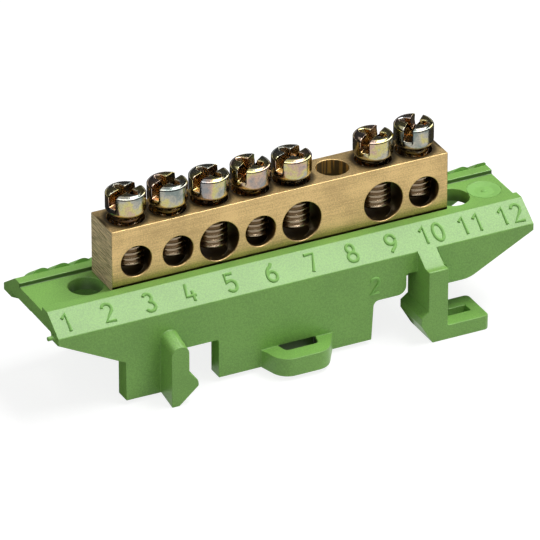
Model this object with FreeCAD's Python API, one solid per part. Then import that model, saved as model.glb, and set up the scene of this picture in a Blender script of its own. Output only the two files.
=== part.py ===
import FreeCAD, Part
import math
import os

# Earth terminal bar: a drilled brass bar with clamp screws, carried by a green
# polypropylene moulding that snaps onto a 35 mm rail.
# X runs along the bar, +Y points to the rear side, +Z is up. The pieces are made
# about the middle of the carrier on the plane of its lowest tips, and at the end all
# move along X, so that the origin is the middle of the length over the nub.
# Lengths are millimetres.

V = FreeCAD.Vector

# Mounting rail and the clearance of the clip on either side of it
RAIL_WIDTH = 35.0
HOOK_PLAY = 0.5
ARM_PLAY = 0.2
SEAT_Z = 6.4

# Brass bar and its drillings
BAR_LENGTH = 50.0
BAR_WIDTH = 6.5
BAR_HEIGHT = 9.0
BAR_EDGE_BREAK = 0.12
POSITION_COUNT = 8
END_MARGIN = 3.58
SMALL_WIRE_HOLE_R = 2.25
LARGE_WIRE_HOLE_R = 2.9
LARGE_POSITIONS = (3, 5, 7)
WIRE_HOLE_DEPTH = 5.15
PLAIN_POSITION = 6
PLAIN_HOLE_R = 2.25
TAPPED_DEPTH = 8.0

# Clamp screws: how far each head stands off the bar and how its slot is turned
SHANK_R = 2.5
SHANK_LENGTH = 7.0
THREAD_CLEARANCE = 0.05
HEAD_R = 2.75
HEAD_HEIGHT = 3.7
HEAD_TOP_CHAMFER = 0.35
HEAD_FOOT_HEIGHT = 0.65
SLOT_WIDTH = 1.25
SLOT_DEPTH = 1.9
CROSS_WIDTH = 1.15
CROSS_SPAN = 4.4
CROSS_FLOOR_SPAN = 2.2
CROSS_DEPTH = 2.1
SCREW_LIFT = {1: 0.45, 2: 0.40, 3: 0.10, 4: 0.18, 5: 0.10, 7: 0.12, 8: 0.42}
SLOT_ANGLE = {1: 23, 2: 28, 3: 25, 4: 38, 5: 26, 7: 38, 8: 46}

# Carrier as a whole: its length, and its width over the loops, clips and walls
CARRIER_LENGTH = 70.8
CARRIER_WIDTH = 25.4
CLIP_SETBACK = 0.6
WALL_SETBACK = 4.1

# Carrier deck, measured up from the rail seat
FLOOR_RISE = 7.8
CHANNEL_CLEARANCE = 0.25
CHANNEL_DEPTH = 0.6
RIM_WIDTH = 1.55
DECK_THICKNESS = 1.9
LIP_RISE = 6.0
LIP_HEIGHT = 1.0
EDGE_ROUND = 0.25

# Carrier walls and legs
WALL_THICKNESS = 2.4
END_SLOPE_RUN = 9.75
LEG_DROP = 5.8
MIDDLE_LEG_X = -0.4
MIDDLE_LEG_HALF = 11.6
MIDDLE_LEG_TAPER = 0.35
LEG_ROOT_FILLET = 0.8
NOTCH_ROUND = 1.3
LOWER_CORNER_ROUND = 4.0
WALL_CORNER = 0.3

# Fixed hook
HOOK_THICKNESS = 2.6
HOOK_TOP_RISE = 3.4
HOOK_TOP_FALL = 0.9
HOOK_TOP_FLAT = 0.2
HOOK_BARB = 1.35
HOOK_TIP_WIDTH = 1.1
HOOK_BARB_DROP = 1.8
HOOK_NOSE_TOP_DROP = 3.1
HOOK_NOSE_FOOT_DROP = 3.95
HOOK_NOSE_ROUND = 1.3

# Latch arm, its barb and its release foot
ARM_THICKNESS = 2.9
ARM_DEPTH = 6.3
ARM_GAP_REAR = 1.6
ARM_GAP_FRONT = 1.5
ARM_GAP_RISE = 3.0
FACET_RISE = 4.5
LATCH_BARB = 1.1
LATCH_BARB_DROP = 1.55
LATCH_BARB_LEAD = 0.8
LATCH_BARB_FACE = 1.15
LATCH_TIP_INSET = 0.6
FOOT_REACH = 6.4
FOOT_THICKNESS = 2.15
FOOT_CORNER = 0.8
FOOT_EDGE_ROUND = 0.4
FOOT_SLOT_LENGTH = 4.3
FOOT_SLOT_WIDTH = 1.65
FOOT_SLOT_MARGIN = 1.7

# Loop on the middle leg
LOOP_ROOT_HALF = 5.35
LOOP_FRONT_LEFT = 4.1
LOOP_FRONT_RIGHT = 2.8
LOOP_HEIGHT = 2.7
LOOP_CORNER = 2.6
LOOP_SLOT_ROOT_HALF = 2.95
LOOP_SLOT_FRONT_HALF = 2.4
LOOP_SLOT_REACH = 1.6
LOOP_SLOT_RECESS = 0.8
LOOP_SLOT_CORNER = 0.6

# Details of the deck
FIXING_HOLE_R = 2.4
FIXING_HOLE_X = 27.4
DISH_X = 32.3
DISH_R = 2.35
DISH_DEPTH = 0.3
NUB_R = 0.3
NUB_LENGTH = 1.0
NUB_INSET = 1.3
PEG_CLEARANCE = 0.1
PEG_HEIGHT = 3.0
RIB_COUNT = 23
RIB_PITCH = 3.0
RIB_FIRST_INSET = 4.0
RIB_FOOT_WIDTH = 2.3
RIB_TOP_WIDTH = 1.1
RIB_HEIGHT = 0.42

# How far a cutter runs past the surface it cuts, and the length taken as nothing
OVERSHOOT = 1.0
TINY = 1e-6

# Levels and places worked out from the sizes above
HALF_LENGTH = CARRIER_LENGTH / 2
LOOP_FRONT_Y = CARRIER_WIDTH / 2
CLIP_FRONT_Y = LOOP_FRONT_Y - CLIP_SETBACK
WALL_OUTER_Y = LOOP_FRONT_Y - WALL_SETBACK
FLOOR_Z = SEAT_Z + FLOOR_RISE
RIM_Z = FLOOR_Z + CHANNEL_DEPTH
DECK_UNDERSIDE_Z = FLOOR_Z - DECK_THICKNESS
LIP_Z = SEAT_Z + LIP_RISE
LEG_Z = SEAT_Z - LEG_DROP
SLOPE_END_Z = LIP_Z - LIP_HEIGHT
WALL_TOP_Z = LIP_Z - LIP_HEIGHT / 2
CHANNEL_HALF = BAR_WIDTH / 2 + CHANNEL_CLEARANCE
RIM_OUTER_Y = CHANNEL_HALF + RIM_WIDTH
WALL_INNER_Y = WALL_OUTER_Y - WALL_THICKNESS
SLANT_FALL = (RIM_Z - LIP_Z) / (WALL_OUTER_Y - RIM_OUTER_Y)
HOOK_FACE_X = -(RAIL_WIDTH / 2 + HOOK_PLAY)
ARM_FACE_X = RAIL_WIDTH / 2 + ARM_PLAY
BAR_TOP_Z = FLOOR_Z + BAR_HEIGHT
FIRST_POSITION_X = -BAR_LENGTH / 2 + END_MARGIN
POSITION_PITCH = -2 * FIRST_POSITION_X / (POSITION_COUNT - 1)
ORIGIN_SHIFT = V(NUB_LENGTH / 2, 0, 0)


def position_x(number):
    """X of a numbered position on the bar."""
    return FIRST_POSITION_X + (number - 1) * POSITION_PITCH


def rounded_face(corners, place):
    """Flat face whose (u, v, radius) corners are rounded; place maps u, v to space."""
    arcs = []
    for i, (u, v, radius) in enumerate(corners):
        following = corners[(i + 1) % len(corners)]
        before = V(corners[i - 1][0], corners[i - 1][1], 0)
        after = V(following[0], following[1], 0)
        corner = V(u, v, 0)
        arrive = (corner - before).normalize()
        leave = (after - corner).normalize()
        turn = arrive.getAngle(leave)
        if radius == 0 or turn < TINY:
            arcs.append((corner, corner, corner))
            continue
        trim = radius * math.tan(turn / 2)
        inward = (leave - arrive).normalize()
        middle = corner + inward * (radius / math.cos(turn / 2) - radius)
        arcs.append((corner - arrive * trim, middle, corner + leave * trim))
    edges = []
    for i, (start, middle, end) in enumerate(arcs):
        if start.distanceToPoint(end) > TINY:
            edges.append(Part.Arc(*(place(p.x, p.y) for p in (start, middle, end))).toShape())
        goal = arcs[(i + 1) % len(arcs)][0]
        if end.distanceToPoint(goal) > TINY:
            edges.append(Part.LineSegment(place(end.x, end.y), place(goal.x, goal.y)).toShape())
    return Part.Face(Part.Wire(edges))


def lengthwise(corners, x_from, x_to):
    """Solid with a (y, z, radius) outline, running along X."""
    face = rounded_face(corners, lambda y, z: V(x_from, y, z))
    return face.extrude(V(x_to - x_from, 0, 0))


def crosswise(corners, y_from, y_to):
    """Solid with an (x, z, radius) outline, running along Y."""
    face = rounded_face(corners, lambda x, z: V(x, y_from, z))
    return face.extrude(V(0, y_to - y_from, 0))


def upright(corners, z_from, z_to):
    """Solid with an (x, y, radius) outline, standing along Z."""
    face = rounded_face(corners, lambda x, y: V(x, y, z_from))
    return face.extrude(V(0, 0, z_to - z_from))


def slant_z(y):
    """Height of the slanted strip, or of its line carried on, at a distance y from the middle."""
    return RIM_Z - (y - RIM_OUTER_Y) * SLANT_FALL


def deck():
    """Channel floor, rims, slanted number strips and the lips below them."""
    half = [
        (-WALL_INNER_Y, SLOPE_END_Z, 0),
        (-WALL_OUTER_Y, SLOPE_END_Z, 0),
        (-WALL_OUTER_Y, LIP_Z, EDGE_ROUND),
        (-RIM_OUTER_Y, RIM_Z, EDGE_ROUND),
        (-CHANNEL_HALF, RIM_Z, EDGE_ROUND / 2),
        (-CHANNEL_HALF, FLOOR_Z, EDGE_ROUND / 2),
    ]
    other_half = [(-y, z, radius) for y, z, radius in reversed(half)]
    underside = [
        (WALL_INNER_Y, DECK_UNDERSIDE_Z, WALL_CORNER),
        (-WALL_INNER_Y, DECK_UNDERSIDE_Z, WALL_CORNER),
    ]
    return lengthwise(half + other_half + underside, -HALF_LENGTH, HALF_LENGTH)


def wall():
    """Front wall with its legs, rail notches and the window of the latch arm."""
    slope_foot_x = HALF_LENGTH - END_SLOPE_RUN
    window_from = ARM_FACE_X - ARM_GAP_REAR
    window_to = ARM_FACE_X + ARM_THICKNESS + ARM_GAP_FRONT
    window_z = SEAT_Z + ARM_GAP_RISE
    leg_left_x = MIDDLE_LEG_X - MIDDLE_LEG_HALF
    leg_right_x = MIDDLE_LEG_X + MIDDLE_LEG_HALF
    corners = [
        (-HALF_LENGTH, WALL_TOP_Z, 0),
        (-HALF_LENGTH, SLOPE_END_Z, WALL_CORNER),
        (-slope_foot_x, SEAT_Z, 0),
        (-slope_foot_x, LEG_Z, EDGE_ROUND / 2),
        (HOOK_FACE_X, LEG_Z, 0),
        (HOOK_FACE_X, SEAT_Z, WALL_CORNER),
        (leg_left_x, SEAT_Z, WALL_CORNER),
        (leg_left_x, LEG_Z, EDGE_ROUND / 2),
        (leg_right_x - MIDDLE_LEG_TAPER, LEG_Z, EDGE_ROUND / 2),
        (leg_right_x, SEAT_Z, LEG_ROOT_FILLET),
        (window_from, SEAT_Z, NOTCH_ROUND),
        (window_from, window_z, WALL_CORNER),
        (window_to, window_z, WALL_CORNER),
        (window_to, SEAT_Z, WALL_CORNER),
        (slope_foot_x, SEAT_Z, LOWER_CORNER_ROUND),
        (HALF_LENGTH, SLOPE_END_Z, WALL_CORNER),
        (HALF_LENGTH, WALL_TOP_Z, 0),
    ]
    return crosswise(corners, -WALL_OUTER_Y, -WALL_INNER_Y)


def fixed_hook():
    """Hook that stands out of the wall and grips the left edge of the rail."""
    outer_x = HOOK_FACE_X - HOOK_THICKNESS
    nose_x = HOOK_FACE_X + HOOK_BARB
    top_z = SEAT_Z + HOOK_TOP_RISE
    outline = crosswise([
        (outer_x, top_z, 0),
        (HOOK_FACE_X, top_z, 0),
        (HOOK_FACE_X, SEAT_Z - HOOK_BARB_DROP, 0),
        (nose_x, SEAT_Z - HOOK_NOSE_TOP_DROP, HOOK_NOSE_ROUND),
        (nose_x, SEAT_Z - HOOK_NOSE_FOOT_DROP, WALL_CORNER),
        (outer_x + HOOK_TIP_WIDTH, 0, 0),
        (outer_x, 0, 0),
    ], -CLIP_FRONT_Y, -WALL_INNER_Y)
    side = lengthwise([
        (-CLIP_FRONT_Y, 0, 0),
        (-CLIP_FRONT_Y, top_z - HOOK_TOP_FALL, 0),
        (-WALL_OUTER_Y, top_z, 0),
        (-WALL_INNER_Y, top_z, 0),
        (-WALL_INNER_Y, LEG_Z, 0),
        (-WALL_OUTER_Y, LEG_Z, 0),
    ], outer_x - OVERSHOOT, nose_x + OVERSHOOT)
    hook = outline.common(side)
    top_edges = []
    for edge in hook.Edges:
        box = edge.BoundBox
        stands_out = box.YMin < -WALL_OUTER_Y and box.YLength > WALL_THICKNESS
        if stands_out and box.ZMin > top_z - HOOK_TOP_FALL - TINY:
            top_edges.append(edge)
    return hook.makeFillet((HOOK_THICKNESS - HOOK_TOP_FLAT) / 2, top_edges)


def latch_arm():
    """Springy arm with a barb for the right rail edge and a slotted release foot."""
    front_x = ARM_FACE_X + ARM_THICKNESS
    foot_x = front_x + FOOT_REACH
    barb_x = ARM_FACE_X - LATCH_BARB
    barb_top_z = SEAT_Z - LATCH_BARB_DROP
    barb_face_z = barb_top_z - LATCH_BARB_LEAD
    back_y = CLIP_FRONT_Y - ARM_DEPTH
    facet_z = SEAT_Z + FACET_RISE
    facet_y = RIM_OUTER_Y + (RIM_Z - facet_z) / SLANT_FALL
    outline = crosswise([
        (ARM_FACE_X, RIM_Z, 0),
        (ARM_FACE_X, barb_top_z, 0),
        (barb_x, barb_face_z, EDGE_ROUND / 2),
        (barb_x, barb_face_z - LATCH_BARB_FACE, EDGE_ROUND / 2),
        (ARM_FACE_X + LATCH_TIP_INSET, 0, 0),
        (foot_x, 0, FOOT_EDGE_ROUND),
        (foot_x, FOOT_THICKNESS, EDGE_ROUND),
        (front_x, FOOT_THICKNESS, EDGE_ROUND),
        (front_x, RIM_Z, 0),
    ], -CLIP_FRONT_Y, -back_y)
    side = lengthwise([
        (-CLIP_FRONT_Y, 0, 0),
        (-CLIP_FRONT_Y, facet_z, EDGE_ROUND),
        (-facet_y, facet_z, 0),
        (-WALL_INNER_Y, slant_z(WALL_INNER_Y), 0),
        (-WALL_INNER_Y, DECK_UNDERSIDE_Z, 0),
        (-back_y, DECK_UNDERSIDE_Z, 0),
        (-back_y, 0, 0),
    ], barb_x - OVERSHOOT, foot_x + OVERSHOOT)
    plan = upright([
        (barb_x, -CLIP_FRONT_Y, 0),
        (foot_x, -CLIP_FRONT_Y, FOOT_CORNER),
        (foot_x, -back_y, FOOT_CORNER),
        (barb_x, -back_y, 0),
    ], 0, RIM_Z)
    middle_y = (CLIP_FRONT_Y + back_y) / 2
    slot_to = foot_x - FOOT_SLOT_MARGIN
    slot = Part.makeBox(
        FOOT_SLOT_LENGTH, FOOT_SLOT_WIDTH, FOOT_THICKNESS + 2 * OVERSHOOT,
        V(slot_to - FOOT_SLOT_LENGTH, -middle_y - FOOT_SLOT_WIDTH / 2, -OVERSHOOT))
    return outline.common(side).common(plan).cut(slot)


def loop():
    """Slotted loop that stands out at the foot of the middle leg."""
    top_z = LEG_Z + LOOP_HEIGHT
    slot_y = WALL_OUTER_Y + LOOP_SLOT_REACH
    recess_y = WALL_OUTER_Y - LOOP_SLOT_RECESS
    body = upright([
        (MIDDLE_LEG_X - LOOP_ROOT_HALF, -WALL_INNER_Y, 0),
        (MIDDLE_LEG_X - LOOP_ROOT_HALF, -WALL_OUTER_Y, 0),
        (MIDDLE_LEG_X - LOOP_FRONT_LEFT, -LOOP_FRONT_Y, LOOP_CORNER),
        (MIDDLE_LEG_X + LOOP_FRONT_RIGHT, -LOOP_FRONT_Y, LOOP_CORNER),
        (MIDDLE_LEG_X + LOOP_ROOT_HALF, -WALL_OUTER_Y, 0),
        (MIDDLE_LEG_X + LOOP_ROOT_HALF, -WALL_INNER_Y, 0),
    ], LEG_Z, top_z)
    slot = upright([
        (MIDDLE_LEG_X - LOOP_SLOT_ROOT_HALF, -recess_y, 0),
        (MIDDLE_LEG_X - LOOP_SLOT_FRONT_HALF, -slot_y, LOOP_SLOT_CORNER),
        (MIDDLE_LEG_X + LOOP_SLOT_FRONT_HALF, -slot_y, LOOP_SLOT_CORNER),
        (MIDDLE_LEG_X + LOOP_SLOT_ROOT_HALF, -recess_y, 0),
    ], LEG_Z - OVERSHOOT, top_z)
    return body, slot


def rear_ribs():
    """Low ribs with sloping sides down the slanted strip of the rear side."""
    down = V(0, 1, -SLANT_FALL).normalize()
    outward = V(0, SLANT_FALL, 1).normalize()
    start = V(0, RIM_OUTER_Y, RIM_Z) - down * OVERSHOOT
    upper_y = RIM_OUTER_Y + EDGE_ROUND
    strip = lengthwise([
        (upper_y, DECK_UNDERSIDE_Z, 0),
        (upper_y, RIM_Z + OVERSHOOT, 0),
        (WALL_OUTER_Y, LIP_Z + OVERSHOOT, 0),
        (WALL_OUTER_Y, WALL_TOP_Z, 0),
        (WALL_INNER_Y, DECK_UNDERSIDE_Z, 0),
    ], -HALF_LENGTH, HALF_LENGTH)
    ribs = []
    for i in range(RIB_COUNT):
        x = -HALF_LENGTH + RIB_FIRST_INSET + i * RIB_PITCH
        end = rounded_face([
            (x - RIB_FOOT_WIDTH / 2, -LIP_HEIGHT / 2, 0),
            (x - RIB_FOOT_WIDTH / 2, 0, 0),
            (x - RIB_TOP_WIDTH / 2, RIB_HEIGHT, 0),
            (x + RIB_TOP_WIDTH / 2, RIB_HEIGHT, 0),
            (x + RIB_FOOT_WIDTH / 2, 0, 0),
            (x + RIB_FOOT_WIDTH / 2, -LIP_HEIGHT / 2, 0),
        ], lambda u, v: start + V(u, 0, 0) + outward * v)
        ribs.append(end.extrude(down * WALL_OUTER_Y).common(strip))
    return ribs


def dish():
    """Shallow round hollow in the floor."""
    return Part.makeCylinder(DISH_R, DISH_DEPTH + OVERSHOOT, V(DISH_X, 0, FLOOR_Z - DISH_DEPTH))


def peg():
    """Moulded peg that stands in the bar's plain hole."""
    radius = PLAIN_HOLE_R - PEG_CLEARANCE
    foot = V(position_x(PLAIN_POSITION), 0, FLOOR_Z - DECK_THICKNESS / 2)
    return Part.makeCylinder(radius, PEG_HEIGHT + DECK_THICKNESS / 2, foot)


def fixing_hole(side):
    """Cutter for the hole through the deck beside one end of the bar."""
    foot = V(side * FIXING_HOLE_X, 0, DECK_UNDERSIDE_Z - OVERSHOOT)
    return Part.makeCylinder(FIXING_HOLE_R, DECK_THICKNESS + 2 * OVERSHOOT, foot)


def nub():
    """Small peg on the left end face."""
    start = V(-HALF_LENGTH - NUB_LENGTH, -WALL_OUTER_Y + NUB_INSET, LIP_Z - NUB_R)
    return Part.makeCylinder(NUB_R, NUB_LENGTH * 2, start, V(1, 0, 0))


def carrier():
    """The one-piece moulding that holds the bar and clips to the rail."""
    loop_body, loop_slot = loop()
    front = wall().multiFuse([fixed_hook(), latch_arm(), loop_body]).cut(loop_slot)
    rear = front.mirror(V(0, 0, 0), V(0, 1, 0))
    body = deck().multiFuse([front, rear, peg(), nub()] + rear_ribs())
    return body.cut([fixing_hole(-1), fixing_hole(1), dish()]).removeSplitter()


def wire_hole(number):
    """Cutter for one wire hole through the bar."""
    radius = LARGE_WIRE_HOLE_R if number in LARGE_POSITIONS else SMALL_WIRE_HOLE_R
    start = V(position_x(number), -BAR_WIDTH, BAR_TOP_Z - WIRE_HOLE_DEPTH)
    return Part.makeCylinder(radius, BAR_WIDTH * 2, start, V(0, 1, 0))


def terminal_bar():
    """Sawn brass bar with wire holes, tapped screw holes and one plain hole."""
    bar = Part.makeBox(BAR_LENGTH, BAR_WIDTH, BAR_HEIGHT, V(-BAR_LENGTH / 2, -BAR_WIDTH / 2, FLOOR_Z))
    long_edges = [edge for edge in bar.Edges if edge.BoundBox.XLength > BAR_LENGTH / 2]
    bar = bar.makeChamfer(BAR_EDGE_BREAK, long_edges)
    cutters = []
    for number in range(1, POSITION_COUNT + 1):
        x = position_x(number)
        if number == PLAIN_POSITION:
            height = BAR_HEIGHT + 2 * OVERSHOOT
            cutters.append(Part.makeCylinder(PLAIN_HOLE_R, height, V(x, 0, FLOOR_Z - OVERSHOOT)))
            continue
        tapped = Part.makeCylinder(
            SHANK_R + THREAD_CLEARANCE, TAPPED_DEPTH + OVERSHOOT, V(x, 0, BAR_TOP_Z - TAPPED_DEPTH))
        cutters += [wire_hole(number), tapped]
    return bar.cut(cutters)


def clamp_screw(number):
    """Headed screw with a through slot crossed by a shorter tapered recess."""
    outline = [
        (0, -SHANK_LENGTH),
        (SHANK_R, -SHANK_LENGTH),
        (SHANK_R, 0),
        (HEAD_R, HEAD_FOOT_HEIGHT),
        (HEAD_R, HEAD_HEIGHT - HEAD_TOP_CHAMFER),
        (HEAD_R - HEAD_TOP_CHAMFER, HEAD_HEIGHT),
        (0, HEAD_HEIGHT),
    ]
    points = [V(r, 0, z) for r, z in outline]
    profile = Part.Face(Part.makePolygon(points + points[:1]))
    turned = profile.revolve(V(0, 0, 0), V(0, 0, 1), 360)
    slot_half = HEAD_R + OVERSHOOT
    slot = Part.makeBox(
        2 * slot_half, SLOT_WIDTH, SLOT_DEPTH + OVERSHOOT,
        V(-slot_half, -SLOT_WIDTH / 2, HEAD_HEIGHT - SLOT_DEPTH))
    recess = lengthwise([
        (-CROSS_SPAN / 2, HEAD_HEIGHT, 0),
        (-CROSS_FLOOR_SPAN / 2, HEAD_HEIGHT - CROSS_DEPTH, 0),
        (CROSS_FLOOR_SPAN / 2, HEAD_HEIGHT - CROSS_DEPTH, 0),
        (CROSS_SPAN / 2, HEAD_HEIGHT, 0),
    ], -CROSS_WIDTH / 2, CROSS_WIDTH / 2)
    screw = turned.cut([slot, recess])
    screw.rotate(V(0, 0, 0), V(0, 0, 1), SLOT_ANGLE[number])
    screw.translate(V(position_x(number), 0, BAR_TOP_Z + SCREW_LIFT[number]))
    return screw


def main():
    os.makedirs("parts", exist_ok=True)
    nodes = {"carrier": carrier(), "terminal_bar": terminal_bar()}
    for number in SCREW_LIFT:
        nodes["clamp_screw_" + str(number)] = clamp_screw(number)
    for name, shape in nodes.items():
        shape.translate(ORIGIN_SHIFT)
        shape.exportStep("parts/" + name + ".step")
        box = shape.BoundBox
        print(name, len(shape.Solids), shape.isValid(), round(shape.Volume, 1), box)


main()
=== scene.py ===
import math

import bmesh
import bpy
from bpy.props import FloatProperty, FloatVectorProperty, IntProperty, PointerProperty
from mathutils import Matrix, Vector


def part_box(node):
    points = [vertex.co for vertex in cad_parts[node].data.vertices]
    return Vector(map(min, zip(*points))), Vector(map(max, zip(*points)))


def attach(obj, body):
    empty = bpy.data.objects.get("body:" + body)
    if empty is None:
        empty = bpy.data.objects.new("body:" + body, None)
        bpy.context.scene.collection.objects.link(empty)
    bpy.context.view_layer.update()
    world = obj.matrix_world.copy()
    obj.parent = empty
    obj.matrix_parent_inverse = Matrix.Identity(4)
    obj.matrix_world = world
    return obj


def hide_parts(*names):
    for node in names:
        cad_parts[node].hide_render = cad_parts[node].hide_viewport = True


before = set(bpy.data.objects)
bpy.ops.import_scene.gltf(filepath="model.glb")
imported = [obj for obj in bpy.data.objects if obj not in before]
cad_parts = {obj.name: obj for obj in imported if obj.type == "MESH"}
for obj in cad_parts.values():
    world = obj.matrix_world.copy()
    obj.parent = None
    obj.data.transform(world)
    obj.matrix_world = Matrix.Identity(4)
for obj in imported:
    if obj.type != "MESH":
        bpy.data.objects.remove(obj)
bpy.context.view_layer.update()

# Dresses an earth terminal bar: a green moulded carrier, a drilled brass bar and
# seven zinc plated clamp screws. Lengths are metres, in the frame of the CAD model.

bl_info = {
    "name": "Earth terminal bar",
    "version": (1, 0, 0),
    "blender": (4, 5, 0),
    "location": "3D Viewport > Sidebar > Earth Bar",
    "description": "Finishes, numbers, ribs, clamp screws and studio for the earth terminal bar",
    "category": "Object",
}

MM = 0.001
CARRIER_BODY = "rail_carrier"
SCREW_NUMBERS = (1, 2, 3, 4, 5, 7, 8)
PLAIN_POSITION = 6

# How each screw's slot is turned from the bar, as the screws happen to stand
SLOT_TURNS = {1: 23, 2: 28, 3: 25, 4: 38, 5: 26, 7: 38, 8: 46}

bar_low, bar_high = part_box("terminal_bar")
first_low, first_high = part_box("clamp_screw_1")
last_low, last_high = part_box("clamp_screw_8")
MIDDLE_X = (bar_low.x + bar_high.x) / 2
FIRST_X = (first_low.x + first_high.x) / 2
POSITION_PITCH = (last_low.x - first_low.x) / (SCREW_NUMBERS[-1] - SCREW_NUMBERS[0])
PLAIN_X = FIRST_X + (PLAIN_POSITION - 1) * POSITION_PITCH
FIXING_X = 27.4 * MM
FIXING_R = 2.4 * MM
LOOP_X = MIDDLE_X - 0.4 * MM
FLOOR_Z = bar_low.z
BAR_TOP_Z = bar_high.z
LOOP_TOP_Z = FLOOR_Z - 10.9 * MM
FOOT_Y = 8.95 * MM
WIRE_HOLE_Z = BAR_TOP_Z - 5.15 * MM
STRIP_HALF_LENGTH = 35.4 * MM
DISH_X = 32.3 * MM
CAVITY_X = 11.3 * MM
CAVITY_DROP = 5.4 * MM

# Limits for joining a CAD mesh's points and flat faces, and the angles over which edges are rounded
SAME_POINT = 0.0005 * MM
ON_PLANE = 0.001 * MM
FLAT_ANGLE = math.radians(0.5)
CARRIER_SHARPEST = 35
BAR_SHARPEST = 60

# The slanted strip runs from the rim of the channel down to the lip of the wall
RIM_INNER_Y = 3.5 * MM
RIM_Y = 5.05 * MM
RIM_Z = FLOOR_Z + 0.6 * MM
LIP_Y = 8.6 * MM
LIP_Z = FLOOR_Z - 1.8 * MM
STRIP_ANGLE = math.atan2(RIM_Z - LIP_Z, LIP_Y - RIM_Y)


class CarrierSizes(bpy.types.PropertyGroup):
    """Sizes of what is moulded onto the carrier."""

    edge_round: FloatProperty(
        name="Edge round", description="Rounding of the moulding's outer edges",
        default=0.1 * MM, precision=5, subtype="DISTANCE", unit="LENGTH")
    rib_count: IntProperty(
        name="Ribs", description="Number of ribs down the rear slanted strip", default=22, min=1)
    rib_pitch: FloatProperty(
        name="Rib pitch", description="Distance between neighbouring ribs",
        default=3.0 * MM, precision=5, subtype="DISTANCE", unit="LENGTH")
    rib_inset: FloatProperty(
        name="First rib", description="Distance of the first rib from the carrier's left end",
        default=4.0 * MM, precision=5, subtype="DISTANCE", unit="LENGTH")
    rib_width: FloatProperty(
        name="Rib width", description="Width of a rib at its foot",
        default=2.42 * MM, precision=5, subtype="DISTANCE", unit="LENGTH")
    rib_height: FloatProperty(
        name="Rib height", description="Height of a rib's crown over the strip",
        default=0.52 * MM, precision=5, subtype="DISTANCE", unit="LENGTH")


class NumberSizes(bpy.types.PropertyGroup):
    """Sizes of the raised numbers."""

    count: IntProperty(name="Numbers", description="How many places are numbered", default=12, min=1)
    first_offset: FloatProperty(
        name="First number", description="Distance of number 1 from the middle of the carrier",
        default=33.35 * MM, precision=5, subtype="DISTANCE", unit="LENGTH")
    pitch: FloatProperty(
        name="Pitch", description="Distance between neighbouring numbers",
        default=6.0 * MM, precision=5, subtype="DISTANCE", unit="LENGTH")
    height: FloatProperty(
        name="Height", description="Height of a number on the slanted strip",
        default=2.6 * MM, precision=5, subtype="DISTANCE", unit="LENGTH")
    stroke: FloatProperty(
        name="Stroke", description="Half the width of a number's stroke",
        default=0.23 * MM, precision=5, subtype="DISTANCE", unit="LENGTH")
    cavity_height: FloatProperty(
        name="Cavity number height", description="Height of the small number on the front wall",
        default=2.3 * MM, precision=5, subtype="DISTANCE", unit="LENGTH")


class BarSizes(bpy.types.PropertyGroup):
    """Sizes of the brass bar's finish."""

    edge_break: FloatProperty(
        name="Edge break", description="Broken edge round the holes and along the bar",
        default=0.13 * MM, precision=5, subtype="DISTANCE", unit="LENGTH")


class ScrewSizes(bpy.types.PropertyGroup):
    """Sizes of a clamp screw."""

    head_radius: FloatProperty(
        name="Head radius", description="Radius of the cheese head",
        default=2.75 * MM, precision=5, subtype="DISTANCE", unit="LENGTH")
    head_height: FloatProperty(
        name="Head height", description="Height of the head over the thread",
        default=3.7 * MM, precision=5, subtype="DISTANCE", unit="LENGTH")
    top_round: FloatProperty(
        name="Top rounding", description="Radius round the top of the head",
        default=0.8 * MM, precision=5, subtype="DISTANCE", unit="LENGTH")
    crown_start: FloatProperty(
        name="Crown start", description="Slope at which the rounding leaves the head's side",
        default=math.radians(25), subtype="ANGLE", unit="ROTATION")
    foot_radius: FloatProperty(
        name="Foot radius", description="Radius of the neck and of the head's tapered foot",
        default=2.0 * MM, precision=5, subtype="DISTANCE", unit="LENGTH")
    foot_height: FloatProperty(
        name="Foot height", description="Height of the head's tapered foot",
        default=1.1 * MM, precision=5, subtype="DISTANCE", unit="LENGTH")
    neck_height: FloatProperty(
        name="Neck height", description="Height of the plain neck between thread and head",
        default=0.6 * MM, precision=5, subtype="DISTANCE", unit="LENGTH")
    slot_width: FloatProperty(
        name="Slot width", description="Width of the through slot",
        default=1.25 * MM, precision=5, subtype="DISTANCE", unit="LENGTH")
    slot_depth: FloatProperty(
        name="Slot depth", description="Depth of the through slot",
        default=1.9 * MM, precision=5, subtype="DISTANCE", unit="LENGTH")
    cross_width: FloatProperty(
        name="Cross width", description="Width of the cross recess",
        default=1.15 * MM, precision=5, subtype="DISTANCE", unit="LENGTH")
    cross_span: FloatProperty(
        name="Cross span", description="Length of the cross recess at the top",
        default=4.4 * MM, precision=5, subtype="DISTANCE", unit="LENGTH")
    cross_floor_span: FloatProperty(
        name="Cross floor span", description="Length of the cross recess at its floor",
        default=2.2 * MM, precision=5, subtype="DISTANCE", unit="LENGTH")
    cross_depth: FloatProperty(
        name="Cross depth", description="Depth of the cross recess",
        default=2.1 * MM, precision=5, subtype="DISTANCE", unit="LENGTH")
    thread_radius: FloatProperty(
        name="Thread radius", description="Radius over the crests of the thread",
        default=2.48 * MM, precision=5, subtype="DISTANCE", unit="LENGTH")
    root_radius: FloatProperty(
        name="Root radius", description="Radius of the core of the thread",
        default=2.05 * MM, precision=5, subtype="DISTANCE", unit="LENGTH")
    thread_pitch: FloatProperty(
        name="Thread pitch", description="Distance between the turns of the thread",
        default=0.8 * MM, precision=5, subtype="DISTANCE", unit="LENGTH")
    edge_break: FloatProperty(
        name="Edge break", description="Rounding of the slot's edges",
        default=0.13 * MM, precision=5, subtype="DISTANCE", unit="LENGTH")


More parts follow.
